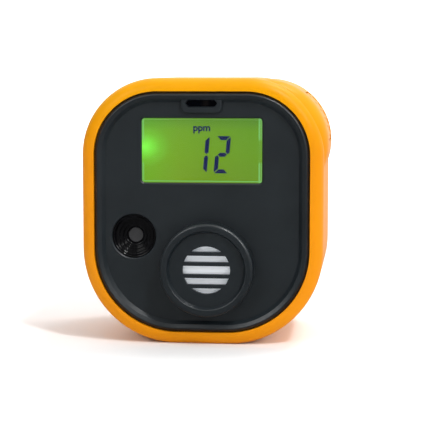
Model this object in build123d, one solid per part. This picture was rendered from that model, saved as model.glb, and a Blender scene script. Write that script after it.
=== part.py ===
from build123d import *
import os
from math import cos, radians, sin

# Portable gas detector, in millimetres. It stands upright on its flat foot:
# +Z up, its front face towards -Y, +X to the right of someone facing it.
# The origin is the middle of the foot.

# Case
CASE_WIDTH = 59.9
CASE_HEIGHT = 66.0
FOOT_CUT = 0.3
TOP_RADIUS = 18.95
BOTTOM_RADIUS = 23.75
CASE_FRONT = -22.0
CASE_BACK = 22.0
CASE_WALL = 3.25
REAR_WALL = 3.4
FRONT_ROUND = 3.2
REAR_ROUND = 7.0
CAVITY_BACK = CASE_BACK - REAR_WALL

# Swelling of the upper right corner, which carries the button
SWELL_X = 15.1
SWELL_Z = 49.5
SWELL_RADIUS = 15.9
SWELL_FRONT = -21.2
SWELL_BACK = 13.0
SWELL_BLEND = 3.0
SWELL_TOP_BLEND = 12.0
SWELL_ROUND = 5.4

# Front cover
COVER_INSET = CASE_WALL + 0.1
COVER_FRONT = -21.9
FACE = -20.6
COVER_BEVEL = 0.75
CREST_INSET = COVER_INSET + 1.0
SHOULDER = -21.5
SHOULDER_INSET = COVER_INSET + 1.85
FACE_INSET = COVER_INSET + 2.65
COVER_BACK = -18.7
SKIRT_BACK = -15.0
SKIRT_WALL = 2.8
SEAL_FRONT = -17.3
SEAL_BACK = -16.1
SEAL_DEPTH = 0.9

# Display
SCREEN_Z = 47.9
SCREEN_WIDTH = 29.8
SCREEN_HEIGHT = 15.9
GLASS_WIDTH = 31.6
GLASS_HEIGHT = 17.2
DISPLAY_BOARD_FRONT = -13.0
BOARD_THICKNESS = 1.6

# Alarm light slot at the top of the face
SLOT_Z = 59.5
SLOT_WIDTH = 7.7
SLOT_HEIGHT = 1.65
TAB_WIDTH = 10.1
TAB_BOTTOM = 57.1
TAB_FRONT = -21.35

# Sounder
HORN_X = -16.9
HORN_Z = 26.6
HORN_MOUTH = 5.5
HORN_RADIUS = 6.6
HORN_FRONT = -19.9
HORN_BACK = -13.2
MESH_FRONT = -17.3
SOUNDER_RADIUS = 6.0
SOUNDER_FRONT = -11.2

# Sensor and its cap
SENSOR_X = 1.6
SENSOR_Z = 18.9
SENSOR_RADIUS = 9.9
SENSOR_FRONT = -21.9
SENSOR_BACK = -5.3
CAP_RADIUS = 11.5
CAP_FRONT = -25.6
CAP_RECESS_RADIUS = 9.7
CAP_PLATE_RADIUS = 9.2
CAP_PLATE_FRONT = -24.6
CAP_PLATE_BACK = -23.4
CAP_FLANGE_BACK = -20.75
CAP_SPIGOT_BACK = -17.0
SPIGOT_RADIUS = 11.1
SPIGOT_BORE = 10.2
COLLAR_BORE = 11.17
COLLAR_RADIUS = 12.6
COLLAR_BACK = -12.0
GRILLE_RADIUS = 5.85
GRILLE_BAR = 0.95
GRILLE_BARS_FROM_MIDDLE = (1.5, 4.0)

# Main board and battery
MAIN_BOARD_FRONT = -1.5
MAIN_BOARD_BACK = MAIN_BOARD_FRONT + BOARD_THICKNESS
BATTERY_RADIUS = 8.5
BATTERY_LENGTH = 34.5
BATTERY_Y = 9.2
BATTERY_Z = 36.0

# Screw columns, as (x, z)
COVER_SCREWS = [(-14.0, 59.5), (14.0, 59.5), (-18.6, 11.6), (18.6, 11.6)]
BOARD_SCREWS = [(-21.7, 42.0), (21.7, 38.0)]
DISPLAY_SCREWS = [(-15.0, 36.3), (15.0, 36.3)]
COLUMN_FRONT = -2.9
COLUMN_RADIUS = 2.9
COLUMN_SEAT = 0.8
SCREW_RADIUS = 1.0
SCREW_HEAD = 1.7
SCREW_HEAD_HEIGHT = 1.2
FIT = 0.02

# Push button, on a line out of the middle of the swelling
BUTTON_ANGLE = 26.9
BUTTON_Y = -4.6
BUTTON_WIDTH = 12.8
BUTTON_DEPTH = 12.0
BUTTON_OUTER = 15.75
BUTTON_INNER = 14.2
POCKET_FLOOR = 13.3
RIB_RADIUS = 0.6
RIB_PITCH = 7.9
RIB_COUNT = 6
POCKET_GAP = 0.35
STEM_RADIUS = 2.2
STEM_END = 7.5
SWITCH_SIDE = 6.0

# Vibrating alarm motor, lying across the case
MOTOR_Y = 10.5
MOTOR_Z = 14.0
MOTOR_RADIUS = 3.0
SHAFT_RADIUS = 0.5

# Belt clip on the back
PIVOT_Y = 29.5
PIVOT_Z = 40.0
PIN_RADIUS = 1.25
CLIP_WIDTH = 13.0
CLIP_SHEET = 1.4
BASE_WIDTH = 18.0
BASE_BACK = CASE_BACK + 1.5
EAR_INNER = 7.3
EAR_THICKNESS = 1.4
SPRING_RADIUS = 2.6
SPRING_WIRE = 0.9


def front_plane(y):
    """Sketches drawn here are seen from the front: their x is X and their y is Z."""
    return Plane(origin=(0, y, 0), x_dir=(1, 0, 0), z_dir=(0, -1, 0))


def side_plane(x):
    """Sketches drawn here are seen from the right: their x is Y and their y is Z."""
    return Plane(origin=(x, 0, 0), x_dir=(0, 1, 0), z_dir=(1, 0, 0))


def prism(sketch, y_front, y_back):
    return extrude(front_plane(y_back) * sketch, amount=y_back - y_front)


def disc(x, z, radius, y_front, y_back):
    return prism(Pos(x, z) * Circle(radius), y_front, y_back)


def ring(x, z, outer, inner, y_front, y_back):
    return prism(Pos(x, z) * (Circle(outer) - Circle(inner)), y_front, y_back)


def plate(x, z, width, height, y_front, y_back, corner=0.0):
    shape = RectangleRounded(width, height, corner) if corner else Rectangle(width, height)
    return prism(Pos(x, z) * shape, y_front, y_back)


def cross_bar(x_low, x_high, y, z, radius):
    """A round bar along X."""
    return extrude(side_plane(x_low) * Pos(y, z) * Circle(radius), amount=x_high - x_low)


def slice_x(sketch, x_low, x_high):
    """A sketch of Y and Z, given thickness along X."""
    return extrude(side_plane(x_low) * sketch, amount=x_high - x_low)


def both_sides(shape):
    return shape + mirror(shape, about=Plane.YZ)


def case_outline(inset):
    """The case seen from the front, drawn in by an even margin."""
    height = CASE_HEIGHT - 2 * inset
    shape = Pos(0, CASE_HEIGHT / 2 - FOOT_CUT) * Rectangle(CASE_WIDTH - 2 * inset, height)
    shape = fillet(shape.vertices().group_by(Axis.Y)[-1], TOP_RADIUS - inset)
    return fillet(shape.vertices().group_by(Axis.Y)[0], BOTTOM_RADIUS - inset)


def swollen_outline():
    """The case outline with the round swelling of its upper right corner."""
    shape = case_outline(0.05) + Pos(SWELL_X, SWELL_Z) * Circle(SWELL_RADIUS)
    lower = shape.vertices().filter_by(lambda v: v.X > CASE_WIDTH / 2 - 0.5 and v.Y < SWELL_Z)
    shape = fillet([lower.sort_by(Axis.Y)[-1]], SWELL_BLEND)
    upper = shape.vertices().filter_by(lambda v: v.X > 12.0 and v.Y > SWELL_Z)
    return fillet([upper.sort_by(Axis.X)[-1]], SWELL_TOP_BLEND)


def button_plane(distance):
    """Square to the button's travel, at a distance out from the middle of the swelling."""
    out = Vector(cos(radians(BUTTON_ANGLE)), 0, sin(radians(BUTTON_ANGLE)))
    middle = Vector(SWELL_X, BUTTON_Y, SWELL_Z) + out * distance
    return Plane(origin=middle, x_dir=(0, 1, 0), z_dir=out)


def along_button(sketch, inner, outer):
    return extrude(button_plane(inner) * sketch, amount=outer - inner)


def case_shell():
    body = prism(case_outline(0), CASE_FRONT, CASE_BACK)
    body = fillet(body.edges().group_by(Axis.Y)[0], FRONT_ROUND)
    body = fillet(body.edges().group_by(Axis.Y)[-1], REAR_ROUND)
    swell = prism(swollen_outline(), SWELL_FRONT, SWELL_BACK)
    swell = fillet(swell.edges().group_by(Axis.Y)[0], SWELL_ROUND)
    swell = fillet(swell.edges().group_by(Axis.Y)[-1], REAR_ROUND)
    body += swell
    body -= prism(case_outline(CASE_WALL), CASE_FRONT, CAVITY_BACK)
    body -= Pos(0, 0, -5) * Box(CASE_WIDTH, 60, 10)
    for x, z in COVER_SCREWS:
        body += disc(x, z, COLUMN_RADIUS, COLUMN_FRONT, CASE_BACK - 2.0)
    for x, z in BOARD_SCREWS:
        body += disc(x, z, 2.2, MAIN_BOARD_BACK, CAVITY_BACK + 1.0)
        body -= disc(x, z, SCREW_RADIUS + FIT, MAIN_BOARD_BACK, MAIN_BOARD_BACK + 6.0)
    for x, z in COVER_SCREWS:
        body -= disc(x, z, SCREW_HEAD + 0.2, COLUMN_SEAT, CASE_BACK + 1.0)
        body -= disc(x, z, SCREW_RADIUS + 0.1, COLUMN_FRONT - 1.0, COLUMN_SEAT)
    for x, z in clip_screw_places():
        body -= disc(x, z, 1.0 + FIT, CAVITY_BACK - 1.0, CASE_BACK)
    mouth = Rectangle(BUTTON_DEPTH + 2 * POCKET_GAP, BUTTON_WIDTH + 2 * POCKET_GAP)
    drum = disc(SWELL_X, SWELL_Z, POCKET_FLOOR, CASE_FRONT, CASE_BACK)
    body -= along_button(mouth, 5.0, 20.0) - drum
    body -= along_button(Circle(3.2), POCKET_FLOOR - 1.4, POCKET_FLOOR)
    body -= along_button(Circle(STEM_RADIUS + 0.06), STEM_END, POCKET_FLOOR)
    return body


def slot_shape(margin):
    """The alarm light slot: a flat bar with pointed ends."""
    half_width = SLOT_WIDTH / 2 + margin
    half_height = SLOT_HEIGHT / 2 + margin
    straight = half_width - half_height * 0.8
    points = [(half_width, 0), (straight, half_height), (-straight, half_height)]
    points += [(-half_width, 0), (-straight, -half_height), (straight, -half_height)]
    return Pos(0, SLOT_Z) * Polygon(*points, align=None)


def front_cover():
    body = prism(case_outline(COVER_INSET), COVER_FRONT, SKIRT_BACK)
    body = chamfer(body.edges().group_by(Axis.Y)[0], COVER_BEVEL)
    body = fillet(body.edges().group_by(Axis.Y)[0], 0.5)
    crest = front_plane(COVER_FRONT) * case_outline(CREST_INSET)
    shoulder = front_plane(SHOULDER) * case_outline(SHOULDER_INSET)
    floor = front_plane(FACE) * case_outline(FACE_INSET)
    body -= loft([crest, shoulder], ruled=True)
    body -= loft([shoulder, floor], ruled=True)
    body -= prism(case_outline(COVER_INSET + SKIRT_WALL), COVER_BACK, SKIRT_BACK)
    tab_height = CASE_HEIGHT - FOOT_CUT - CREST_INSET - TAB_BOTTOM
    tab = plate(0, TAB_BOTTOM + tab_height / 2, TAB_WIDTH, tab_height, TAB_FRONT, FACE + 0.2, 1.5)
    tab = fillet(tab.edges().group_by(Axis.Y)[0], 0.3)
    body += tab
    body -= prism(slot_shape(0), TAB_FRONT - 1.0, COVER_BACK)
    slot_mouth = front_plane(TAB_FRONT) * slot_shape(0.22)
    slot_throat = front_plane(TAB_FRONT + 0.3) * slot_shape(-0.02)
    body -= loft([slot_mouth, slot_throat], ruled=True)
    body -= plate(0, SCREEN_Z, SCREEN_WIDTH, SCREEN_HEIGHT, FACE - 1.0, COVER_BACK, 0.8)
    sill = RectangleRounded(SCREEN_WIDTH + 0.7, SCREEN_HEIGHT + 0.7, 1.15)
    opening = RectangleRounded(SCREEN_WIDTH - 0.04, SCREEN_HEIGHT - 0.04, 0.78)
    sill = front_plane(FACE) * Pos(0, SCREEN_Z) * sill
    opening = front_plane(FACE + 0.35) * Pos(0, SCREEN_Z) * opening
    body -= loft([sill, opening], ruled=True)
    body -= disc(HORN_X, HORN_Z, HORN_MOUTH, FACE - 1.0, COVER_BACK)
    mouth = Pos(HORN_X, HORN_Z) * Circle(HORN_MOUTH + 0.2)
    throat = Pos(HORN_X, HORN_Z) * Circle(HORN_MOUTH - 0.05)
    body -= loft([front_plane(FACE) * mouth, front_plane(FACE + 0.25) * throat], ruled=True)
    body += ring(SENSOR_X, SENSOR_Z, COLLAR_RADIUS, COLLAR_BORE, COVER_BACK - 0.5, COLLAR_BACK)
    body -= disc(SENSOR_X, SENSOR_Z, COLLAR_BORE, FACE - 1.0, COLLAR_BACK)
    for x, z in COVER_SCREWS:
        body += disc(x, z, 2.0, COVER_BACK - 0.5, COLUMN_FRONT - 0.1)
        body -= disc(x, z, SCREW_RADIUS + FIT, COLUMN_FRONT - 9.1, COLUMN_FRONT)
    groove = case_outline(COVER_INSET - 1.0) - case_outline(COVER_INSET + SEAL_DEPTH)
    body -= prism(groove, SEAL_FRONT - 0.1, SEAL_BACK + 0.1)
    body -= plate(0, SLOT_Z - 0.3, 9.0, 2.7, COVER_BACK, SKIRT_BACK)
    for x, z in DISPLAY_SCREWS:
        body += disc(x, z, 1.9, COVER_BACK - 0.5, DISPLAY_BOARD_FRONT)
        body -= disc(x, z, SCREW_RADIUS + FIT, DISPLAY_BOARD_FRONT - 3.5, DISPLAY_BOARD_FRONT)
    return body


def cover_seal():
    band = case_outline(CASE_WALL + 0.02) - case_outline(COVER_INSET + SEAL_DEPTH - 0.02)
    return prism(band, SEAL_FRONT, SEAL_BACK)


def cross_recess(x, z, size, y_front, y_back):
    """The cut for a cross-point screwdriver."""
    level = plate(x, z, size, 0.45, y_front, y_back)
    return level + plate(x, z, 0.45, size, y_front, y_back)


def pan_screw(x, z, seat, tip):
    """A pan-head screw driven forwards, with a cross recess in its head."""
    screw = disc(x, z, SCREW_RADIUS, tip, seat)
    head = disc(x, z, SCREW_HEAD, seat, seat + SCREW_HEAD_HEIGHT)
    head = fillet(head.edges().group_by(Axis.Y)[-1], 0.5)
    return screw + head - cross_recess(x, z, 2.0, seat + 0.5, seat + 2.0)


def cover_screws():
    seat = COLUMN_SEAT
    return [pan_screw(x, z, seat, COLUMN_FRONT - 8.5) for x, z in COVER_SCREWS]


def flipped_screw(x, z, seat, tip):
    """A pan-head screw driven backwards."""
    screw = disc(x, z, SCREW_RADIUS, seat, tip)
    head = disc(x, z, SCREW_HEAD, seat - SCREW_HEAD_HEIGHT, seat)
    head = fillet(head.edges().group_by(Axis.Y)[0], 0.5)
    return screw + head - cross_recess(x, z, 2.0, seat - 2.0, seat - 0.5)


def board_screws():
    screws = [flipped_screw(x, z, MAIN_BOARD_FRONT, MAIN_BOARD_BACK + 5.0) for x, z in BOARD_SCREWS]
    seat = DISPLAY_BOARD_FRONT + BOARD_THICKNESS
    return screws + [pan_screw(x, z, seat, DISPLAY_BOARD_FRONT - 3.0) for x, z in DISPLAY_SCREWS]


def display_window():
    pane = plate(0, SCREEN_Z, SCREEN_WIDTH - 0.08, SCREEN_HEIGHT - 0.08, FACE + 0.35, COVER_BACK, 0.75)
    pane = chamfer(pane.edges().group_by(Axis.Y)[0], 0.25)
    return pane + plate(0, SCREEN_Z, 32.4, 18.0, COVER_BACK, COVER_BACK + 0.8, 1.0)


def lcd_panel():
    front = plate(0, SCREEN_Z, GLASS_WIDTH, GLASS_HEIGHT - 2.2, -17.7, -16.6)
    return front + plate(0, SCREEN_Z, GLASS_WIDTH, GLASS_HEIGHT, -16.6, -15.5)


def lcd_frame():
    outer = RectangleRounded(33.6, 18.4, 0.8) - Rectangle(GLASS_WIDTH + 0.2, GLASS_HEIGHT + 0.2)
    return prism(Pos(0, SCREEN_Z) * outer, -17.8, DISPLAY_BOARD_FRONT)


def backlight_guide():
    return plate(0, SCREEN_Z, GLASS_WIDTH - 0.2, 15.2, -15.4, DISPLAY_BOARD_FRONT - 0.1)


def contact_strips():
    offset_z = GLASS_HEIGHT / 2 - 0.5
    return [
        plate(0, SCREEN_Z + side * offset_z, GLASS_WIDTH - 1.0, 0.9, -15.5, DISPLAY_BOARD_FRONT)
        for side in (-1, 1)
    ]


def display_board():
    back = DISPLAY_BOARD_FRONT + BOARD_THICKNESS
    board = plate(0, 45.8, 34.4, 23.2, DISPLAY_BOARD_FRONT, back, 1.2)
    board += plate(0, 58.5, 9.0, 5.4, DISPLAY_BOARD_FRONT, back, 0.8)
    for x, z in DISPLAY_SCREWS:
        board -= disc(x, z, SCREW_RADIUS + 0.1, DISPLAY_BOARD_FRONT, back)
    return board


def alarm_leds():
    base_y = DISPLAY_BOARD_FRONT
    leds = []
    for x in (-2.2, 2.2):
        led = plate(x, SLOT_Z - 0.1, 2.4, 1.5, base_y - 3.2, base_y, 0.3)
        leds.append(led)
    return leds


def led_window():
    """A light pipe that fills the slot and spreads out behind the cover."""
    nose = prism(slot_shape(-0.05), TAB_FRONT + 1.15, COVER_BACK)
    return nose + plate(0, SLOT_Z - 0.3, 8.6, 2.4, COVER_BACK, DISPLAY_BOARD_FRONT - 3.3, 0.4)


def board_header():
    """The plug and socket that join the two boards."""
    return plate(3.0, 36.6, 16.0, 2.6, DISPLAY_BOARD_FRONT + BOARD_THICKNESS, MAIN_BOARD_FRONT, 0.3)


def sounder_horn():
    """A stepped funnel that rises into the cover's opening."""
    body = disc(HORN_X, HORN_Z, HORN_RADIUS, COVER_BACK, HORN_BACK)
    body += disc(HORN_X, HORN_Z, HORN_MOUTH - 0.06, HORN_FRONT, COVER_BACK + 1.0)
    steps = [(5.1, 4.6, 0.0, 0.7), (3.95, 3.8, 0.7, 1.4), (3.1, 2.9, 1.4, 2.0), (2.3, 1.9, 2.0, 2.6)]
    for mouth, end, start, stop in steps:
        wide = front_plane(HORN_FRONT + start) * Pos(HORN_X, HORN_Z) * Circle(mouth)
        narrow = front_plane(HORN_FRONT + stop) * Pos(HORN_X, HORN_Z) * Circle(end)
        body -= loft([wide, narrow], ruled=True)
    body -= disc(HORN_X, HORN_Z, 1.8, MESH_FRONT, MESH_FRONT + 0.4)
    return body - disc(HORN_X, HORN_Z, 1.3, MESH_FRONT, HORN_BACK)


def sounder_mesh():
    return disc(HORN_X, HORN_Z, 1.78, MESH_FRONT, MESH_FRONT + 0.4)


def sounder_gasket():
    return ring(HORN_X, HORN_Z, 5.9, 2.0, HORN_BACK, SOUNDER_FRONT)


def sounder():
    can = disc(HORN_X, HORN_Z, SOUNDER_RADIUS, SOUNDER_FRONT, MAIN_BOARD_FRONT)
    can = fillet(can.edges().group_by(Axis.Y)[0], 0.6)
    return can - disc(HORN_X, HORN_Z, 1.3, SOUNDER_FRONT - 1.0, SOUNDER_FRONT + 1.5)


def sensor_pin_places():
    angles = (90, 210, 330)
    return [(SENSOR_X + 6.7 * cos(radians(a)), SENSOR_Z + 6.7 * sin(radians(a))) for a in angles]


def gas_sensor():
    can = disc(SENSOR_X, SENSOR_Z, SENSOR_RADIUS, SENSOR_FRONT, SENSOR_BACK)
    can = fillet(can.edges().group_by(Axis.Y)[0], 0.6)
    can -= ring(SENSOR_X, SENSOR_Z, SENSOR_RADIUS + 1, SENSOR_RADIUS - 0.4, -12.0, -10.8)
    can -= disc(SENSOR_X, SENSOR_Z, 1.2, SENSOR_FRONT - 1.0, SENSOR_FRONT + 1.0)
    for x, z in sensor_pin_places():
        can += disc(x, z, 0.75, SENSOR_BACK - 0.5, MAIN_BOARD_FRONT - 0.4)
    return can


def sensor_sockets():
    front = SENSOR_BACK + 0.2
    return [
        disc(x, z, 1.5, front, MAIN_BOARD_FRONT) - disc(x, z, 0.8, front, MAIN_BOARD_FRONT - 0.3)
        for x, z in sensor_pin_places()
    ]


def grille_slots(y_front, y_back):
    """Five level slots inside a circle, parted by four bars."""
    opening = Circle(GRILLE_RADIUS)
    for distance in GRILLE_BARS_FROM_MIDDLE:
        for side in (-1, 1):
            opening -= Pos(0, side * distance) * Rectangle(2.2 * GRILLE_RADIUS, GRILLE_BAR)
    return prism(Pos(SENSOR_X, SENSOR_Z) * opening, y_front, y_back)


def sensor_cap():
    cap = disc(SENSOR_X, SENSOR_Z, CAP_RADIUS, CAP_FRONT, CAP_FLANGE_BACK)
    rim = front_plane(CAP_FRONT) * Pos(SENSOR_X, SENSOR_Z) * Circle(CAP_RECESS_RADIUS)
    floor = front_plane(CAP_PLATE_FRONT) * Pos(SENSOR_X, SENSOR_Z) * Circle(CAP_PLATE_RADIUS)
    cap -= loft([rim, floor], ruled=True)
    crest = cap.edges().group_by(Axis.Y)[0].sort_by(SortBy.RADIUS)
    cap = fillet([crest[-1]], 0.8)
    crest = cap.edges().group_by(Axis.Y)[0].sort_by(SortBy.RADIUS)
    cap = fillet([crest[0]], 0.3)
    cap += disc(SENSOR_X, SENSOR_Z, SPIGOT_RADIUS, CAP_FLANGE_BACK - 0.5, CAP_SPIGOT_BACK)
    cap -= disc(SENSOR_X, SENSOR_Z, SPIGOT_BORE, CAP_PLATE_BACK, CAP_SPIGOT_BACK)
    for y in (-24.2, -23.3):
        cap -= ring(SENSOR_X, SENSOR_Z, CAP_RADIUS + 1, CAP_RADIUS - 0.18, y, y + 0.35)
    return cap - grille_slots(CAP_FRONT, CAP_PLATE_BACK)


def filter_membrane():
    return disc(SENSOR_X, SENSOR_Z, 9.4, CAP_PLATE_BACK + 0.1, CAP_PLATE_BACK + 0.4)


def filter_gasket():
    front = CAP_PLATE_BACK + 0.4
    return ring(SENSOR_X, SENSOR_Z, 9.7, 8.0, front, front + 0.8)


def main_board():
    board = prism(case_outline(CASE_WALL + 0.8), MAIN_BOARD_FRONT, MAIN_BOARD_BACK)
    for x, z in COVER_SCREWS:
        board -= disc(x, z, COLUMN_RADIUS + 0.4, MAIN_BOARD_FRONT, MAIN_BOARD_BACK)
    for x, z in BOARD_SCREWS:
        board -= disc(x, z, SCREW_RADIUS + 0.1, MAIN_BOARD_FRONT, MAIN_BOARD_BACK)
    return board.solids().sort_by(SortBy.VOLUME)[-1]


def board_components():
    front = MAIN_BOARD_FRONT
    chips = [plate(-4, 50, 10, 10, front - 1.4, front, 0.3), plate(-15, 45.5, 5, 4, front - 1.1, front)]
    chips += [plate(9.5, 46, 3.2, 5, front - 1.3, front), plate(8.4, 53.2, 3.2, 5, front - 1.2, front)]
    chips += [plate(-13 + 3.0 * i, 41.0, 1.0, 2.0, front - 0.8, front) for i in range(4)]
    chips += [plate(20.5, 20 + 3.0 * i, 2.0, 1.0, front - 0.8, front) for i in range(4)]
    chips += [disc(-14.5, 52.5, 2.5, front - 5.0, front)]
    return chips


def battery_cell():
    low = -BATTERY_LENGTH / 2
    cell = cross_bar(low, -low - 1.2, BATTERY_Y, BATTERY_Z, BATTERY_RADIUS)
    cell = fillet(cell.edges(), 0.6)
    return cell + cross_bar(-low - 1.3, -low, BATTERY_Y, BATTERY_Z, 3.2)


def battery_holder():
    """A cradle on the back of the main board, cut out to the cell's round."""
    holder = plate(0, BATTERY_Z, 2 * 18.2, 15.0, MAIN_BOARD_BACK, 7.0, 0.8)
    holder -= cross_bar(-17.5, 17.5, BATTERY_Y, BATTERY_Z, BATTERY_RADIUS + 0.1)
    return holder


def battery_contacts():
    """A leaf at each end of the cell, standing in the cradle's end wall."""
    leaf = Pos(17.38, BATTERY_Y + 0.8, BATTERY_Z) * Box(0.2, 4.8, 6.0)
    return both_sides(leaf)


def battery_pad():
    return plate(0, BATTERY_Z, 26.0, 6.0, BATTERY_Y + BATTERY_RADIUS + 0.05, CAVITY_BACK - 0.05, 1.0)


def switch_body():
    """A side-acting switch that stands on the main board."""
    square = Rectangle(SWITCH_SIDE, SWITCH_SIDE)
    body = along_button(square, 3.0, 6.4)
    return body - along_button(Circle(1.65), 5.4, 6.4)


def switch_plunger():
    return along_button(Circle(1.55), 6.0 + 0.1, STEM_END - 0.05)


def mode_button():
    """A pad with ribs across it, on a stem through the case wall."""
    drum = Circle(BUTTON_OUTER) - Circle(BUTTON_INNER)
    y_low = BUTTON_Y - BUTTON_DEPTH / 2
    pad = prism(Pos(SWELL_X, SWELL_Z) * drum, y_low, y_low + BUTTON_DEPTH)
    pad &= along_button(Rectangle(BUTTON_DEPTH, BUTTON_WIDTH), 5.0, 20.0)
    rims = pad.edges().filter_by(GeomType.CIRCLE).sort_by(SortBy.RADIUS)[-2:]
    pad = fillet(rims, 0.6)
    for i in range(RIB_COUNT):
        angle = radians(BUTTON_ANGLE + RIB_PITCH * (i - (RIB_COUNT - 1) / 2))
        x = SWELL_X + (BUTTON_OUTER - 0.4) * cos(angle)
        z = SWELL_Z + (BUTTON_OUTER - 0.4) * sin(angle)
        rib = disc(x, z, RIB_RADIUS, y_low + 0.9, y_low + BUTTON_DEPTH - 0.9)
        pad += fillet(rib.edges(), 0.35)
    stem = along_button(Circle(STEM_RADIUS), STEM_END, BUTTON_INNER + 0.6)
    groove = along_button(Circle(STEM_RADIUS + 1) - Circle(STEM_RADIUS - 0.5), 8.5, 9.1)
    return pad + stem - groove


def button_retainer():
    return along_button(Circle(3.0) - Circle(STEM_RADIUS - 0.48), 8.52, 9.08)


def button_seal():
    washer = Circle(3.15) - Circle(STEM_RADIUS + 0.05)
    return along_button(washer, POCKET_FLOOR - 1.35, POCKET_FLOOR - 0.15)


def vibration_motor():
    case = cross_bar(-9.0, 3.0, MOTOR_Y, MOTOR_Z, MOTOR_RADIUS)
    case = fillet(case.edges(), 0.4)
    return case - cross_bar(-1.0, 4.0, MOTOR_Y, MOTOR_Z, SHAFT_RADIUS + 0.05)


def motor_shaft():
    return cross_bar(-0.8, 8.6, MOTOR_Y, MOTOR_Z, SHAFT_RADIUS)


def vibration_weight():
    """A half round block, so that its middle is off the shaft."""
    half = Circle(2.9) - Pos(0, 2.9) * Rectangle(8.0, 4.2)
    block = slice_x(Pos(MOTOR_Y, MOTOR_Z) * (half + Circle(1.1)), 4.2, 8.4)
    return block - cross_bar(4.0, 9.0, MOTOR_Y, MOTOR_Z, SHAFT_RADIUS + FIT)


def motor_saddle():
    block = Pos(-3.0, (6.2 + CAVITY_BACK) / 2, MOTOR_Z) * Box(9.0, CAVITY_BACK - 6.2, 8.6)
    block = fillet(block.edges().filter_by(Axis.X), 1.0)
    return block - cross_bar(-8.0, 2.0, MOTOR_Y, MOTOR_Z, MOTOR_RADIUS + FIT)


def clip_screw_places():
    return [(0.0, 21.0), (0.0, 48.0)]


def clip_base():
    base = plate(0, 34.0, BASE_WIDTH, 34.0, CASE_BACK, BASE_BACK, 3.0)
    lip = Pos(BASE_BACK + 0.5, 17.8) * Circle(0.9)
    base += slice_x(lip, -CLIP_WIDTH / 2, CLIP_WIDTH / 2)
    ear = Pos(PIVOT_Y, PIVOT_Z) * Circle(3.4)
    ear += Pos((PIVOT_Y + CASE_BACK + 1) / 2, PIVOT_Z) * Rectangle(PIVOT_Y - CASE_BACK - 1, 6.8)
    ear += Pos(BASE_BACK + 0.8, PIVOT_Z) * Rectangle(2.4, 11.0)
    base += both_sides(slice_x(ear, EAR_INNER, EAR_INNER + EAR_THICKNESS))
    base -= cross_bar(-12, 12, PIVOT_Y, PIVOT_Z, PIN_RADIUS + FIT)
    for x, z in clip_screw_places():
        base -= disc(x, z, 1.1, CASE_BACK, BASE_BACK)
        base -= disc(x, z, 1.9, CASE_BACK + 0.7, BASE_BACK)
    return base


def clip_screws():
    screws = []
    for x, z in clip_screw_places():
        screw = disc(x, z, 1.0, CAVITY_BACK + 0.2, CASE_BACK + 0.7)
        screw += disc(x, z, 1.8, CASE_BACK + 0.7, BASE_BACK - 0.1)
        screws.append(screw - cross_recess(x, z, 2.2, BASE_BACK - 0.45, BASE_BACK))
    return screws


def clip_arm():
    """A bent sheet lever: thumb tab above the pin, toothed jaw below it."""
    route = [(37.2, 57.5), (34.2, 47.0), (33.4, 36.0), (31.6, 25.0), (25.9, 18.8), (25.9, 15.4)]
    line = FilletPolyline(*route, radius=[6.0, 14.0, 8.0, 2.6])
    strip = trace(line, CLIP_SHEET)
    arm = slice_x(strip, -CLIP_WIDTH / 2, CLIP_WIDTH / 2)
    arm &= plate(0, 36.5, CLIP_WIDTH, 42.6, CASE_BACK, CASE_BACK + 20.0, 3.0)
    for i in range(4):
        arm -= plate(2.4 * (i - 1.5), 15.2, 1.0, 1.0, CASE_BACK, CASE_BACK + 6.0)
    cheek = Pos(PIVOT_Y, PIVOT_Z) * Circle(3.1)
    cheek += Pos((PIVOT_Y + 33.4) / 2, PIVOT_Z + 0.3) * Rectangle(33.4 - PIVOT_Y, 7.0)
    arm += both_sides(slice_x(cheek, CLIP_WIDTH / 2 - 1.3, CLIP_WIDTH / 2))
    arm -= cross_bar(-8, 8, PIVOT_Y, PIVOT_Z, PIN_RADIUS + 0.07)
    return arm


def clip_pin():
    end = EAR_INNER + EAR_THICKNESS
    pin = cross_bar(-end - 0.3, end + 0.3, PIVOT_Y, PIVOT_Z, PIN_RADIUS)
    heads = cross_bar(end + 0.05, end + 0.8, PIVOT_Y, PIVOT_Z, 2.0)
    return pin + both_sides(heads)


def clip_spring():
    """Torsion spring round the pin: a coil, one leg on the base and one behind the tab."""
    coil = cross_bar(-4.4, 4.4, PIVOT_Y, PIVOT_Z, SPRING_RADIUS)
    coil -= cross_bar(-5, 5, PIVOT_Y, PIVOT_Z, SPRING_RADIUS - SPRING_WIRE)
    wire = SPRING_WIRE / 2
    base_leg = Line((PIVOT_Y - SPRING_RADIUS + wire, PIVOT_Z), (BASE_BACK + wire + 0.1, PIVOT_Z + 8.0))
    arm_leg = Line((PIVOT_Y + SPRING_RADIUS - wire, PIVOT_Z), (33.35, PIVOT_Z + 8.6))
    for x, leg in ((-4.0, base_leg), (4.0, arm_leg)):
        path = side_plane(x) * leg
        coil += sweep(Plane(origin=path @ 0, z_dir=path % 0) * Circle(wire), path=path)
    return coil


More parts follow.
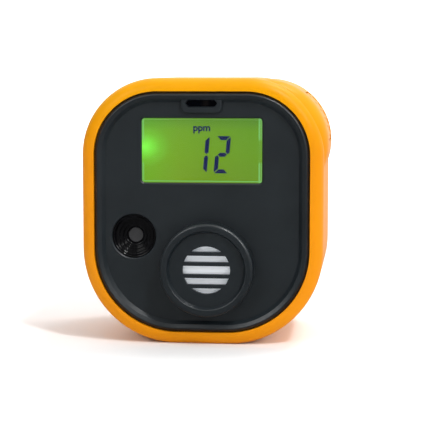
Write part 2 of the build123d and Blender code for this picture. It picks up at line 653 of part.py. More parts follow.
NODES = {
    "case_shell": case_shell, "front_cover": front_cover, "cover_seal": cover_seal,
    "cover_screws": cover_screws, "board_screws": board_screws, "display_window": display_window,
    "lcd_panel": lcd_panel, "lcd_frame": lcd_frame, "backlight_guide": backlight_guide,
    "contact_strips": contact_strips, "display_board": display_board, "alarm_leds": alarm_leds,
    "led_window": led_window, "board_header": board_header, "sounder_horn": sounder_horn,
    "sounder_mesh": sounder_mesh, "sounder_gasket": sounder_gasket, "sounder": sounder,
    "gas_sensor": gas_sensor, "sensor_sockets": sensor_sockets, "sensor_cap": sensor_cap,
    "filter_membrane": filter_membrane, "filter_gasket": filter_gasket, "main_board": main_board,
    "board_components": board_components, "battery_cell": battery_cell,
    "battery_holder": battery_holder, "battery_contacts": battery_contacts,
    "battery_pad": battery_pad, "switch_body": switch_body, "switch_plunger": switch_plunger,
    "mode_button": mode_button, "button_retainer": button_retainer, "button_seal": button_seal,
    "vibration_motor": vibration_motor, "motor_shaft": motor_shaft,
    "vibration_weight": vibration_weight, "motor_saddle": motor_saddle, "clip_base": clip_base,
    "clip_screws": clip_screws, "clip_arm": clip_arm, "clip_pin": clip_pin,
    "clip_spring": clip_spring,
}


os.makedirs("parts", exist_ok=True)
for name, build in NODES.items():
    shape = build()
    if isinstance(shape, list):
        shape = Compound(children=shape)
    export_step(shape, f"parts/{name}.step")
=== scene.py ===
import math

import bmesh
import bpy
from mathutils import Matrix, Vector


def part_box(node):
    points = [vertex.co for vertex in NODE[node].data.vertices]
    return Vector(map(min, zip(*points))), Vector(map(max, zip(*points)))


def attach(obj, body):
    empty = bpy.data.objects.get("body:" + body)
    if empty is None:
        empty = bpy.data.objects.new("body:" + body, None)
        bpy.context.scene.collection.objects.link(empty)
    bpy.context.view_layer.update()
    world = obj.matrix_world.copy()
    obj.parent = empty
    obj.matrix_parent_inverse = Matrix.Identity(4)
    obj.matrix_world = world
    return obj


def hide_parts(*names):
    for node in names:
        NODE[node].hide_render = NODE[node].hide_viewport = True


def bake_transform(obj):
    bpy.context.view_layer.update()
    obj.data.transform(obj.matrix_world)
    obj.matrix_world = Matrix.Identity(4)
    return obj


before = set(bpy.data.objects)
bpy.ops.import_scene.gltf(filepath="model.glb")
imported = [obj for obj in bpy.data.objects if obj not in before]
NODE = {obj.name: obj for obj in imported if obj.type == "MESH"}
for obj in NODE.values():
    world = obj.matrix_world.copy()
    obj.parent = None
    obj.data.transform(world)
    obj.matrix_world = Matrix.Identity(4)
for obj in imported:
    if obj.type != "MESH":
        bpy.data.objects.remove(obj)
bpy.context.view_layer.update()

MM = 0.001

# The screen's digits and label, in millimetres from the middle of the screen
DIGIT_HEIGHT = 9.2
DIGIT_WIDTH = 3.55
DIGIT_SLANT = math.tan(math.radians(5.0))
DIGIT_BASE = -5.7
SEGMENT = 1.0
SEGMENT_GAP = 0.13
ONE_LEFT = 0.48
TWO_LEFT = 3.18
LABEL_HEIGHT = 2.45
LABEL_X = -0.25
LABEL_BASE = 4.75
INK_THICKNESS = 0.05

# Lit area of the screen: its half width, foot and top, and the lamp at its left edge
LIT_HALF_WIDTH = 14.9
LIT_FOOT = 39.9
LIT_TOP = 55.9
LAMP_X = -14.6
LAMP_Z = 48.7

# Sounder's horn
HORN_RADIUS = 6.6
HORN_NOSE = 5.44
HORN_SHOULDER = -18.7
HORN_SOFTNESS = 0.16

# Sensor cap's thread
THREAD_PITCH = 1.5
THREAD_DEPTH = 0.3
CAP_FLANGE_BACK = -20.75

# Clip spring, wound round the hinge pin
SPRING_X = 4.0
SPRING_RADIUS = 2.15
SPRING_WIRE = 0.45
SPRING_TURNS = 7
PIVOT_Y = 29.5
PIVOT_Z = 40.0
BASE_LEG_END = (24.05, 48.0)
ARM_LEG_END = (33.35, 48.6)

# Camera, which looks from a little to the right of the face and above it
CAMERA_AZIMUTH = 6.5
CAMERA_ELEVATION = 5.6
CAMERA_DISTANCE = 350.0
CAMERA_LENS = 122.0
FRAME_RIGHT = 2.35
FRAME_UP = 0.6

# How bright the room is in front of the object, and above and behind it
ROOM_DARK = 0.14
ROOM_BRIGHT = 1.15

# Lamps: the direction each shines from, how soft it is in degrees, and its strength
LAMPS = {
    "key": ((0.4, -0.4, 0.85), 5.0, 1.1),
    "behind": ((0.3, 0.3, 0.9), 16.0, 0.8),
    "right": ((0.75, -0.65, 0.55), 14.0, 0.75),
    "left": ((-0.5, -0.8, 0.6), 24.0, 0.6),
}


# ---------------------------------------------------------------- shader tools

class Shader:
    """One node material: a Principled surface and short calls that feed it."""

    def __init__(self, name, color, roughness, **sockets):
        self.material = bpy.data.materials.new(name)
        self.material.use_nodes = True
        self.tree = self.material.node_tree
        self.surface = self.tree.nodes["Principled BSDF"]
        self.put("Base Color", (*color, 1.0))
        self.put("Roughness", roughness)
        for socket, value in sockets.items():
            self.put(socket.replace("_", " "), value)
        place = self.tree.nodes.new("ShaderNodeTexCoord")
        scale = self.tree.nodes.new("ShaderNodeVectorMath")
        scale.operation = "SCALE"
        scale.inputs["Scale"].default_value = 1.0 / MM
        self.tree.links.new(place.outputs["Object"], scale.inputs[0])
        self.millimetres = scale.outputs[0]

    def put(self, socket, value):
        self.surface.inputs[socket].default_value = value

    def link(self, output, socket):
        self.tree.links.new(output, self.surface.inputs[socket])

    def stretched(self, x, y, z):
        """Millimetre coordinates, multiplied axis by axis."""
        node = self.tree.nodes.new("ShaderNodeVectorMath")
        node.operation = "MULTIPLY"
        node.inputs[1].default_value = (x, y, z)
        self.tree.links.new(self.millimetres, node.inputs[0])
        return node.outputs[0]

    def noise(self, per_mm, detail=3.0, roughness=0.5, where=None):
        node = self.tree.nodes.new("ShaderNodeTexNoise")
        node.inputs["Scale"].default_value = per_mm
        node.inputs["Detail"].default_value = detail
        node.inputs["Roughness"].default_value = roughness
        self.tree.links.new(where or self.millimetres, node.inputs["Vector"])
        return node.outputs["Fac"]

    def cells(self, per_mm):
        node = self.tree.nodes.new("ShaderNodeTexVoronoi")
        node.inputs["Scale"].default_value = per_mm
        self.tree.links.new(self.millimetres, node.inputs["Vector"])
        return node.outputs["Distance"]

    def ramp(self, value, *stops):
        """Colours or greys at places from 0 to 1."""
        node = self.tree.nodes.new("ShaderNodeValToRGB")
        marks = node.color_ramp.elements
        while len(marks) < len(stops):
            marks.new(0.5)
        for mark, (place, color) in zip(marks, stops):
            mark.position = place
            mark.color = (*color, 1.0) if isinstance(color, tuple) else (color, color, color, 1.0)
        self.tree.links.new(value, node.inputs["Fac"])
        return node.outputs["Color"]

    def span(self, value, low, high, to_low=0.0, to_high=1.0):
        node = self.tree.nodes.new("ShaderNodeMapRange")
        numbers = (low, high, to_low, to_high)
        for socket, number in zip(("From Min", "From Max", "To Min", "To Max"), numbers):
            node.inputs[socket].default_value = number
        self.tree.links.new(value, node.inputs["Value"])
        return node.outputs["Result"]

    def axis(self, name):
        node = self.tree.nodes.new("ShaderNodeSeparateXYZ")
        self.tree.links.new(self.millimetres, node.inputs[0])
        return node.outputs[name]

    def maths(self, operation, first, second=0.0):
        node = self.tree.nodes.new("ShaderNodeMath")
        node.operation = operation
        for socket, value in zip(node.inputs, (first, second)):
            if isinstance(value, (int, float)):
                socket.default_value = value
            else:
                self.tree.links.new(value, socket)
        return node.outputs[0]

    def band(self, value, middle, half, soft=0.06):
        """One inside a narrow band of a value, falling to nothing just outside it."""
        away = self.maths("ABSOLUTE", self.maths("SUBTRACT", value, middle))
        return self.span(away, half, half + soft, 1.0, 0.0)

    def mix(self, factor, first, second, blend="MIX"):
        node = self.tree.nodes.new("ShaderNodeMix")
        node.data_type = "RGBA"
        node.blend_type = blend
        for socket, value in ((0, factor), (6, first), (7, second)):
            if isinstance(value, (int, float)):
                node.inputs[socket].default_value = value
            elif isinstance(value, tuple):
                node.inputs[socket].default_value = (*value, 1.0)
            else:
                self.tree.links.new(value, node.inputs[socket])
        return node.outputs[2]

    def bump(self, height, depth_mm, under=None):
        """Relief of a depth in millimetres, which may lie over other relief."""
        node = self.tree.nodes.new("ShaderNodeBump")
        node.inputs["Distance"].default_value = depth_mm * MM
        self.tree.links.new(height, node.inputs["Height"])
        if under:
            self.tree.links.new(under, node.inputs["Normal"])
        self.link(node.outputs[0], "Normal")
        return node.outputs[0]


def paint(material, *names):
    for name in names:
        NODE[name].data.materials.clear()
        NODE[name].data.materials.append(material)


# ------------------------------------------------------------------- materials

def orange_plastic():
    """The case's satin plastic, with painted light: a ramp over height paints the top lighter and
    yellower.
    """
    s = Shader("orange_plastic", (0.82, 0.3, 0.0), 0.36, Specular_IOR_Level=0.15)
    # painted light: the ramp over height paints the top lighter and yellower, as if lit from above
    height = s.ramp(s.span(s.axis("Z"), 0.0, 66.0), (0.0, (0.85, 0.3, 0.0)), (0.2, (0.8, 0.27, 0.0)),
                    (0.7, (0.78, 0.27, 0.0)), (1.0, (0.79, 0.35, 0.0)))
    cloud = s.ramp(s.noise(0.09, 4.0), (0.3, 0.96), (0.7, 1.03))
    s.link(s.mix(1.0, height, cloud, "MULTIPLY"), "Base Color")
    s.link(s.span(s.noise(0.8, 5.0), 0.2, 0.8, 0.31, 0.42), "Roughness")
    s.bump(s.noise(2.6, 2.0), 0.006)
    return s.material


def black_plastic(name, roughness, grain_depth):
    """Dark textured plastic with a few specks of dust."""
    s = Shader(name, (0.01, 0.014, 0.018), roughness, Specular_IOR_Level=0.65)
    cloud = s.ramp(s.noise(0.12, 5.0), (0.3, (0.0085, 0.013, 0.0165)), (0.7, (0.0115, 0.017, 0.021)))
    specks = s.ramp(s.cells(0.55), (0.0, 1.0), (0.03, 0.0))
    few = s.ramp(s.noise(0.35, 2.0), (0.62, 0.0), (0.66, 1.0))
    dust = s.mix(1.0, specks, few, "MULTIPLY")
    s.link(s.mix(dust, cloud, (0.07, 0.08, 0.09)), "Base Color")
    s.link(s.span(s.noise(1.2, 5.0), 0.2, 0.8, roughness - 0.06, roughness + 0.06), "Roughness")
    grain = s.bump(s.noise(2.2, 3.0, 0.7), grain_depth)
    return s, grain


def cover_plastic():
    return black_plastic("cover_plastic", 0.38, 0.01)[0].material


def cap_plastic():
    """The cover's plastic, a little smoother, with the relief of a thread on the spigot."""
    s, grain = black_plastic("cap_plastic", 0.34, 0.003)
    low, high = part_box("sensor_cap")
    middle = (low + high) / 2 / MM
    right = s.maths("SUBTRACT", s.axis("X"), middle.x)
    up = s.maths("SUBTRACT", s.axis("Z"), middle.z)
    turn = s.maths("ARCTAN2", up, right)
    along = s.maths("MULTIPLY", s.axis("Y"), math.tau / THREAD_PITCH)
    wave = s.maths("SINE", s.maths("ADD", along, turn))
    inside = s.span(s.axis("Y"), CAP_FLANGE_BACK, CAP_FLANGE_BACK + 0.2)
    s.bump(s.maths("MULTIPLY", wave, inside), THREAD_DEPTH, under=grain)
    return s.material


def glossy_black():
    """Polished moulding, with the slightly uneven gloss of handling."""
    s = Shader("glossy_black", (0.002, 0.002, 0.003), 0.12, Specular_IOR_Level=0.35)
    s.link(s.ramp(s.noise(0.6, 4.0), (0.3, (0.0015, 0.0015, 0.002)), (0.7, (0.003, 0.003, 0.004))),
           "Base Color")
    s.link(s.span(s.noise(1.5, 6.0), 0.2, 0.8, 0.07, 0.2), "Roughness")
    s.bump(s.noise(0.9, 3.0), 0.004)
    return s.material


def clear_pane():
    """Clear plastic with a few dull patches."""
    s = Shader("clear_pane", (0.97, 1.0, 0.97), 0.03, IOR=1.18, Transmission_Weight=1.0)
    s.link(s.span(s.noise(1.8, 6.0), 0.35, 0.75, 0.0, 0.05), "Roughness")
    return s.material


def lit_screen():
    """Backlit green: a lamp at the left edge, greener above and browner below."""
    s = Shader("lit_screen", (0.01, 0.02, 0.005), 0.3, Specular_IOR_Level=0.2)
    across = s.span(s.axis("X"), -LIT_HALF_WIDTH, LIT_HALF_WIDTH)
    base = s.ramp(across, (0.0, (0.15, 0.42, 0.006)), (0.3, (0.165, 0.35, 0.005)),
                  (0.55, (0.145, 0.315, 0.004)), (1.0, (0.125, 0.30, 0.004)))
    up = s.span(s.axis("Z"), LIT_FOOT, LIT_TOP)
    tint = s.ramp(up, (0.0, (1.0, 0.9, 0.8)), (0.45, (1.0, 1.0, 1.0)), (0.8, (0.95, 1.0, 2.2)),
                  (1.0, (0.66, 0.76, 5.0)))
    green = s.mix(1.0, base, tint, "MULTIPLY")
    side = s.maths("MULTIPLY", s.maths("SUBTRACT", s.axis("X"), LAMP_X), 0.15)
    high = s.maths("MULTIPLY", s.maths("SUBTRACT", s.axis("Z"), LAMP_Z), 0.19)
    reach = s.maths("SQRT", s.maths("ADD", s.maths("POWER", side, 2.0), s.maths("POWER", high, 2.0)))
    glow = s.ramp(reach, (0.0, 1.0), (0.3, 0.62), (0.62, 0.2), (1.0, 0.0))
    lit = s.mix(glow, green, (0.24, 1.0, 0.075))
    left_rim = s.band(s.axis("X"), -14.8, 0.12)
    right_rim = s.band(s.axis("X"), 14.05, 0.2)
    sides = s.maths("MAXIMUM", left_rim, right_rim)
    ends = s.span(s.maths("ABSOLUTE", s.maths("SUBTRACT", s.axis("Z"), 47.6)), 2.6, 3.0, 0.12, 0.8)
    sides = s.maths("MULTIPLY", sides, ends)
    rims = s.maths("MAXIMUM", s.band(s.axis("Z"), 40.12, 0.08), s.band(s.axis("Z"), 55.5, 0.02))
    edges = s.maths("MULTIPLY", s.maths("MAXIMUM", sides, rims), 0.75)
    lit = s.mix(edges, lit, (0.22, 0.62, 0.2))
    grain = s.ramp(s.noise(4.0, 2.0), (0.3, 0.94), (0.7, 1.04))
    s.link(s.mix(1.0, lit, grain, "MULTIPLY"), "Emission Color")
    s.put("Emission Strength", 1.0)
    return s.material


def screen_ink():
    """The dark blue of a liquid crystal that is switched on, given as a glow: painted light in place of
    the light that would reach the segments behind the pane.
    """
    s = Shader("screen_ink", (0.004, 0.006, 0.03), 0.4, Specular_IOR_Level=0.1)
    # painted light: the navy is emitted rather than lit
    s.link(s.ramp(s.noise(3.0, 2.0), (0.3, (0.003, 0.005, 0.05)), (0.7, (0.005, 0.007, 0.06))),
           "Emission Color")
    s.put("Emission Strength", 1.0)
    return s.material


def white_membrane():
    """Porous white film with a faint fibre grain, and a faint glow that is painted light, brightening it
    behind the cap's slots.
    """
    # painted light: the emission makes the film glow faintly, as if more light reached it
    s = Shader("white_membrane", (0.95, 0.97, 1.0), 0.65, Emission_Color=(0.8, 0.9, 1.0, 1.0),
               Emission_Strength=0.16)
    fibres = s.noise(2.2, 6.0, 0.65, s.stretched(1.0, 1.0, 2.4))
    s.link(s.ramp(fibres, (0.25, (0.88, 0.91, 0.96)), (0.65, (0.98, 0.99, 1.0))), "Base Color")
    s.bump(s.noise(7.0, 4.0), 0.02)
    return s.material


def woven_grey():
    """Fine woven cloth, behind which the sounder sits."""
    s = Shader("woven_grey", (0.06, 0.06, 0.065), 0.6, Specular_IOR_Level=0.2)
    across = s.maths("SINE", s.maths("MULTIPLY", s.axis("X"), 18.0))
    up = s.maths("SINE", s.maths("MULTIPLY", s.axis("Z"), 18.0))
    weave = s.maths("MULTIPLY", across, up)
    s.link(s.ramp(s.span(weave, -1.0, 1.0), (0.2, (0.03, 0.03, 0.032)), (0.8, (0.075, 0.075, 0.078))),
           "Base Color")
    s.bump(weave, 0.03)
    return s.material


def soft_rubber(name, level):
    """Matt grey rubber or foam of a given lightness."""
    s = Shader(name, (level, level, level), 0.7)
    s.link(s.ramp(s.noise(0.5, 5.0), (0.3, (level * 0.8,) * 3), (0.7, (level * 1.2,) * 3)), "Base Color")
    s.bump(s.noise(5.0, 3.0), 0.01)
    return s.material


def metal(name, color, roughness, stretch=(1.0, 1.0, 12.0)):
    """Drawn or stamped metal: long faint lines, uneven polish, a few stains."""
    s = Shader(name, color, roughness, Metallic=1.0)
    lines = s.noise(3.0, 6.0, 0.6, s.stretched(stretch[0], stretch[1], 1.0 / stretch[2]))
    stain = s.noise(0.25, 5.0)
    dull = tuple(0.78 * c for c in color)
    s.link(s.ramp(stain, (0.3, dull), (0.65, color)), "Base Color")
    s.link(s.span(lines, 0.2, 0.8, roughness - 0.08, roughness + 0.12), "Roughness")
    s.bump(lines, 0.004)
    return s.material


def circuit_board():
    """Green solder mask over faint copper tracks."""
    s = Shader("circuit_board", (0.01, 0.12, 0.04), 0.3, Coat_Weight=0.3)
    tracks = s.maths("FRACT", s.maths("MULTIPLY", s.axis("X"), 0.8))
    rows = s.maths("FRACT", s.maths("MULTIPLY", s.axis("Z"), 0.55))
    lines = s.maths("MAXIMUM", s.maths("GREATER_THAN", tracks, 0.8), s.maths("GREATER_THAN", rows, 0.85))
    s.link(s.mix(lines, (0.008, 0.11, 0.035), (0.02, 0.2, 0.07)), "Base Color")
    s.bump(lines, 0.02)
    return s.material


def tinted(name, color, roughness):
    """A small plain part: cloudy colour and slightly uneven gloss."""
    s = Shader(name, color, roughness)
    dark = tuple(0.85 * c for c in color)
    light = tuple(min(1.0, 1.12 * c) for c in color)
    s.link(s.ramp(s.noise(0.6, 5.0), (0.3, dark), (0.7, light)), "Base Color")
    s.link(s.span(s.noise(2.0, 5.0), 0.2, 0.8, roughness - 0.05, roughness + 0.05), "Roughness")
    s.bump(s.noise(4.0, 3.0), 0.005)
    return s.material


def smoked_window():
    """Dark plastic that shows a trace of the warm lamps behind it."""
    s = Shader("smoked_window", (0.001, 0.001, 0.003), 0.08, Specular_IOR_Level=0.1)
    across = s.span(s.axis("X"), -3.8, 3.8)
    warm = s.ramp(across, (0.45, (0.0003, 0.0006, 0.003)),
                  (0.62, (0.008, 0.006, 0.006)), (0.78, (0.0003, 0.0003, 0.002)))
    s.link(warm, "Base Color")
    s.link(s.span(s.noise(1.0, 4.0), 0.2, 0.8, 0.05, 0.14), "Roughness")
    return s.material


def paint_nodes():
    orange = orange_plastic()
    paint(orange, "case_shell", "mode_button")
    paint(cover_plastic(), "front_cover")
    paint(cap_plastic(), "sensor_cap")
    horn(glossy_black())
    paint(clear_pane(), "display_window")
    paint(lit_screen(), "lcd_panel")
    paint(smoked_window(), "led_window")
    paint(white_membrane(), "filter_membrane")
    paint(woven_grey(), "sounder_mesh")
    paint(soft_rubber("seal_rubber", 0.03), "cover_seal", "sounder_gasket", "filter_gasket", "button_seal",
          "motor_saddle")
    paint(soft_rubber("foam", 0.1), "battery_pad")
    paint(tinted("strip_rubber", (0.5, 0.12, 0.15), 0.6), "contact_strips")
    paint(tinted("frame_plastic", (0.02, 0.02, 0.022), 0.5), "lcd_frame", "battery_holder", "board_header",
          "sounder", "switch_body", "switch_plunger")
    paint(tinted("chip_resin", (0.025, 0.025, 0.028), 0.55), "board_components")
    paint(tinted("backlight_guide", (0.5, 0.85, 0.25), 0.4), "backlight_guide")
    paint(tinted("led_red", (0.6, 0.04, 0.03), 0.2), "alarm_leds")
    paint(tinted("sensor_casing", (0.55, 0.55, 0.53), 0.45), "gas_sensor")
    paint(tinted("cell_wrap", (0.05, 0.08, 0.25), 0.3), "battery_cell")
    paint(circuit_board(), "main_board", "display_board")
    paint(metal("socket_brass", (0.75, 0.55, 0.22), 0.3), "sensor_sockets")
    sprung = metal("spring_steel", (0.55, 0.55, 0.56), 0.3)
    paint(sprung, "battery_contacts", "button_retainer", "vibration_motor", "motor_shaft")
    clip_spring(sprung)
    paint(metal("weight_metal", (0.35, 0.35, 0.37), 0.4), "vibration_weight")
    paint(metal("screw_steel", (0.5, 0.5, 0.5), 0.35, (1.0, 1.0, 1.0)), "cover_screws", "board_screws",
          "clip_screws")
    paint(metal("clip_steel", (0.62, 0.61, 0.59), 0.28), "clip_base", "clip_arm", "clip_pin")


# ---------------------------------------------------------------- extra pieces

def piece(name, mesh_data, material, body):
    obj = bpy.data.objects.new(name, mesh_data)
    bpy.context.scene.collection.objects.link(obj)
    obj.data.materials.append(material)
    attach(obj, body)
    return obj


def screen_middle():
    low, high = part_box("lcd_panel")
    return Vector(((low.x + high.x) / 2, low.y, (low.z + high.z) / 2)) / MM


def flat_prism(bm, outline, y_front):
    """A thin upright plate from an outline of (x, z) points, all in millimetres."""
    front = [bm.verts.new(Vector((x, y_front, z)) * MM) for x, z in outline]
    back = [bm.verts.new(Vector((x, y_front + INK_THICKNESS, z)) * MM) for x, z in outline]
    bm.faces.new(front)
    bm.faces.new(reversed(back))
    count = len(outline)
    for i in range(count):
        j = (i + 1) % count
        bm.faces.new((front[i], back[i], back[j], front[j]))


def segment_outlines(names):
    """Outlines of a seven-segment digit's lit bars, from its lower left corner, before slanting."""
    wide, high, bar, gap = DIGIT_WIDTH, DIGIT_HEIGHT, SEGMENT, SEGMENT_GAP
    half = bar / 2
    top = [(gap, high), (wide - gap, high), (wide - gap - bar, high - bar), (gap + bar, high - bar)]
    centre = [(gap + half, high / 2), (gap + bar, high / 2 + half)]
    centre += [(wide - gap - bar, high / 2 + half), (wide - gap - half, high / 2)]
    centre += [(wide - gap - bar, high / 2 - half), (gap + bar, high / 2 - half)]
    upper = [(wide - 0.15 * bar, high - gap - 0.15 * bar), (wide, high - gap - 0.35 * bar),
             (wide, high / 2 + gap + 0.4 * bar), (wide - half, high / 2 + gap),
             (wide - bar, high / 2 + gap + half), (wide - bar, high - gap - bar)]
    bars = {"a": top, "d": [(x, high - z) for x, z in top], "g": centre, "b": upper,
            "c": [(x, high - z) for x, z in upper], "e": [(wide - x, high - z) for x, z in upper],
            "f": [(wide - x, z) for x, z in upper]}
    return [bars[name] for name in names]


def digit(bm, names, left, middle, y_front):
    for outline in segment_outlines(names):
        points = [(middle.x + left + x + (z + DIGIT_BASE) * DIGIT_SLANT, middle.z + DIGIT_BASE + z)
                  for x, z in outline]
        flat_prism(bm, points, y_front)


def screen_digits(ink):
    middle = screen_middle()
    y_front = middle.y - INK_THICKNESS - 0.02
    bm = bmesh.new()
    digit(bm, "bc", ONE_LEFT - DIGIT_WIDTH + SEGMENT, middle, y_front)
    digit(bm, "abged", TWO_LEFT, middle, y_front)
    bmesh.ops.recalc_face_normals(bm, faces=bm.faces)
    mesh = bpy.data.meshes.new("screen_digits")
    bm.to_mesh(mesh)
    bm.free()
    piece("screen_digits", mesh, ink, "case")


def screen_label(ink):
    """The unit of measurement above the digits."""
    middle = screen_middle()
    curve = bpy.data.curves.new("unit", "FONT")
    curve.body = "ppm"
    curve.size = LABEL_HEIGHT * MM
    curve.extrude = INK_THICKNESS * MM / 2
    curve.offset = 0.00008
    curve.align_x = "CENTER"
    text = bpy.data.objects.new("unit", curve)
    bpy.context.scene.collection.objects.link(text)
    bpy.context.view_layer.update()
    mesh = bpy.data.meshes.new_from_object(text)
    bpy.data.objects.remove(text)
    turn = Matrix.Rotation(math.pi / 2, 4, "X")
    place = Vector((middle.x + LABEL_X, middle.y - INK_THICKNESS, middle.z + LABEL_BASE)) * MM
    mesh.transform(Matrix.Translation(place) @ turn)
    piece("screen_label", mesh, ink, "case")


def tube_along(name, points, radius, sides=8):
    """A closed round wire along a list of points."""
    bm = bmesh.new()
    rings = []
    side_hint = Vector((0, 0, 1))
    for i, point in enumerate(points):
        ahead = points[min(i + 1, len(points) - 1)]
        behind = points[max(i - 1, 0)]
        along = (ahead - behind).normalized()
        across = (side_hint - along * side_hint.dot(along)).normalized()
        side_hint = across
        other = along.cross(across)
        ring = []
        for k in range(sides):
            angle = 2 * math.pi * k / sides
            offset = across * math.cos(angle) + other * math.sin(angle)
            ring.append(bm.verts.new(point + offset * radius))
        rings.append(ring)
    for first, second in zip(rings, rings[1:]):
        for k in range(sides):
            m = (k + 1) % sides
            bm.faces.new((first[k], first[m], second[m], second[k]))
    bm.faces.new(reversed(rings[0]))
    bm.faces.new(rings[-1])
    bmesh.ops.recalc_face_normals(bm, faces=bm.faces)
    for face in bm.faces:
        face.smooth = len(face.verts) == 4
    mesh = bpy.data.meshes.new(name)
    bm.to_mesh(mesh)
    bm.free()
    return mesh


def rounded(points, radius):
    """A closed profile with each corner turned into a small arc."""
    path = []
    for i, corner in enumerate(points):
        before, after = points[i - 1], points[(i + 1) % len(points)]
        near = corner + (before - corner).normalized() * min(radius, (before - corner).length * 0.4)
        far = corner + (after - corner).normalized() * min(radius, (after - corner).length * 0.4)
        path.append(near + (near - corner) * 0.15)
        for k in range(6):
            s = k / 5
            path.append(near * (1 - s) ** 2 + corner * 2 * s * (1 - s) + far * s ** 2)
        path.append(far + (far - corner) * 0.15)
    return path


def lathe_front(name, profile, x, z, sides=96):
    """A closed profile of (radius, y) points turned round a line along Y, in millimetres."""
    bm = bmesh.new()
    rings = []
    for radius, y in profile:
        ring = []
        for k in range(sides):
            angle = math.tau * k / sides
            place = Vector((x + radius * math.cos(angle), y, z + radius * math.sin(angle)))
            ring.append(bm.verts.new(place * MM))
        rings.append(ring)
    for first, second in zip(rings, rings[1:] + rings[:1]):
        for k in range(sides):
            m = (k + 1) % sides
            bm.faces.new((first[k], first[m], second[m], second[k])).smooth = True
    bmesh.ops.recalc_face_normals(bm, faces=bm.faces)
    mesh = bpy.data.meshes.new(name)
    bm.to_mesh(mesh)
    bm.free()
    return mesh


def horn(material):
    """The sounder's stepped funnel, with the softened ledges of a moulding."""
    low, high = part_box("sounder_horn")
    x, z = (low.x + high.x) / 2 / MM, (low.z + high.z) / 2 / MM
    front, back = low.y / MM, high.y / MM
    outline = [(HORN_RADIUS, back), (HORN_RADIUS, HORN_SHOULDER), (HORN_NOSE, HORN_SHOULDER)]
    outline += [(HORN_NOSE, front), (5.1, front), (4.6, front + 0.7), (3.95, front + 0.7)]
    outline += [(3.8, front + 1.4), (3.1, front + 1.4), (2.9, front + 2.0), (2.3, front + 2.0)]
    outline += [(1.85, front + 2.6), (1.8, front + 3.0), (1.3, front + 3.0), (1.3, back)]
    profile = rounded([Vector(point) for point in outline], HORN_SOFTNESS)
    obj = piece("horn", lathe_front("horn", profile, x, z), material, "case")
    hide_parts("sounder_horn")


def clip_spring(material):
    """A wound torsion spring: one leg ends on the base and the other on the clip."""
    points = [Vector((-SPRING_X, BASE_LEG_END[0], BASE_LEG_END[1])) * MM]
    steps = 24 * SPRING_TURNS + 12
    for i in range(steps + 1):
        angle = math.pi + math.tau * i / 24
        x = -SPRING_X + 2 * SPRING_X * i / steps
        y = PIVOT_Y + SPRING_RADIUS * math.cos(angle)
        z = PIVOT_Z + SPRING_RADIUS * math.sin(angle)
        points.append(Vector((x, y, z)) * MM)
    points.append(Vector((SPRING_X, ARM_LEG_END[0], ARM_LEG_END[1])) * MM)
    obj = bpy.data.objects.new("spring", tube_along("spring", points, SPRING_WIRE * MM, 10))
    bpy.context.scene.collection.objects.link(obj)
    obj.data.materials.append(material)
    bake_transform(obj)
    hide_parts("clip_spring")


# ------------------------------------------------------------ camera and light

def look(obj, target):
    obj.rotation_mode = "QUATERNION"
    obj.rotation_quaternion = (target - obj.location).to_track_quat("-Z", "Y")


def make_camera():
    low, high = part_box("front_cover")
    aim = Vector(((low.x + high.x) / 2, low.y, (low.z + high.z) / 2))
    azimuth = math.radians(CAMERA_AZIMUTH)
    elevation = math.radians(CAMERA_ELEVATION)
    back = Vector((math.sin(azimuth) * math.cos(elevation), -math.cos(azimuth) * math.cos(elevation),
                   math.sin(elevation)))
    right = Vector((math.cos(azimuth), math.sin(azimuth), 0))
    up = back.cross(right)
    aim += (right * FRAME_RIGHT + up * FRAME_UP) * MM
    camera = bpy.data.objects.new("camera", bpy.data.cameras.new("camera"))
    camera.data.sensor_width = 36.0
    camera.data.lens = CAMERA_LENS
    camera.location = aim + back * CAMERA_DISTANCE * MM
    look(camera, aim)
    camera.data.clip_start = 0.01
    camera.data.clip_end = 20.0
    bpy.context.scene.collection.objects.link(camera)
    bpy.context.scene.camera = camera


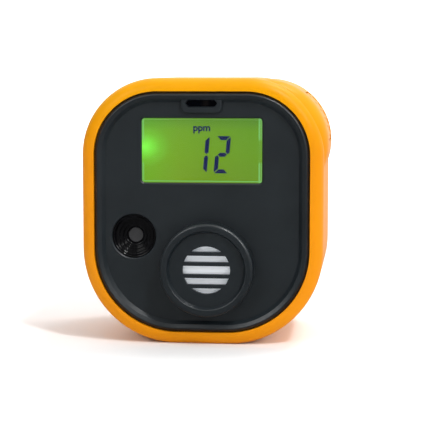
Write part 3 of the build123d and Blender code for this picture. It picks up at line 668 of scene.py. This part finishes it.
def make_floor():
    """A pale floor that curves up into a backdrop well behind the object."""
    bm = bmesh.new()
    depth, bend, height, half = 1.6, 0.5, 1.6, 2.5
    profile = [(-2.0, 0.0), (depth - bend, 0.0)]
    for i in range(1, 13):
        angle = math.pi / 2 * i / 12
        profile.append((depth - bend + bend * math.sin(angle), bend - bend * math.cos(angle)))
    profile.append((depth, height))
    rows = [[bm.verts.new((x, y, z)) for x in (-half, half)] for y, z in profile]
    for first, second in zip(rows, rows[1:]):
        bm.faces.new((first[0], first[1], second[1], second[0])).smooth = True
    mesh = bpy.data.meshes.new("floor")
    bm.to_mesh(mesh)
    bm.free()
    floor = bpy.data.objects.new("floor", mesh)
    bpy.context.scene.collection.objects.link(floor)
    s = Shader("floor_paper", (0.9, 0.9, 0.9), 0.8, Specular_IOR_Level=0.1)
    s.link(s.ramp(s.noise(0.02, 3.0), (0.3, (0.9, 0.9, 0.9)), (0.7, (0.92, 0.92, 0.92))), "Base Color")
    s.put("Emission Color", (1.0, 1.0, 1.0, 1.0))
    s.link(s.span(s.axis("Y"), 150.0, 1100.0, 0.0, 0.5), "Emission Strength")
    floor.data.materials.append(s.material)
    floor.visible_glossy = False


def sun_light(name, toward, softness, strength):
    """An even white light from a direction, as from a large lamp a long way off."""
    light = bpy.data.lights.new(name, "SUN")
    light.angle = math.radians(softness)
    light.energy = strength
    obj = bpy.data.objects.new(name, light)
    obj.location = toward
    look(obj, Vector((0, 0, 0)))
    bpy.context.scene.collection.objects.link(obj)


def make_world():
    """A room that is bright above and behind the object, and dark in front of it."""
    world = bpy.data.worlds.new("studio")
    world.use_nodes = True
    tree = world.node_tree
    place = tree.nodes.new("ShaderNodeTexCoord")
    lean = tree.nodes.new("ShaderNodeVectorMath")
    lean.operation = "DOT_PRODUCT"
    lean.inputs[1].default_value = Vector((0.3, 0.55, 0.8)).normalized()
    reach = tree.nodes.new("ShaderNodeMapRange")
    reach.interpolation_type = "SMOOTHSTEP"
    numbers = (0.05, 0.85, ROOM_DARK, ROOM_BRIGHT)
    for socket, number in zip(("From Min", "From Max", "To Min", "To Max"), numbers):
        reach.inputs[socket].default_value = number
    background = tree.nodes["Background"]
    background.inputs["Color"].default_value = (1.0, 1.0, 1.0, 1.0)
    tree.links.new(place.outputs["Generated"], lean.inputs[0])
    tree.links.new(lean.outputs["Value"], reach.inputs["Value"])
    tree.links.new(reach.outputs["Result"], background.inputs["Strength"])
    bpy.context.scene.world = world


def make_light():
    make_world()
    for name, (toward, softness, strength) in LAMPS.items():
        sun_light(name, toward, softness, strength)
    bpy.context.scene.view_settings.view_transform = "Standard"


paint_nodes()
ink = screen_ink()
screen_digits(ink)
screen_label(ink)
make_floor()
make_light()
make_camera()
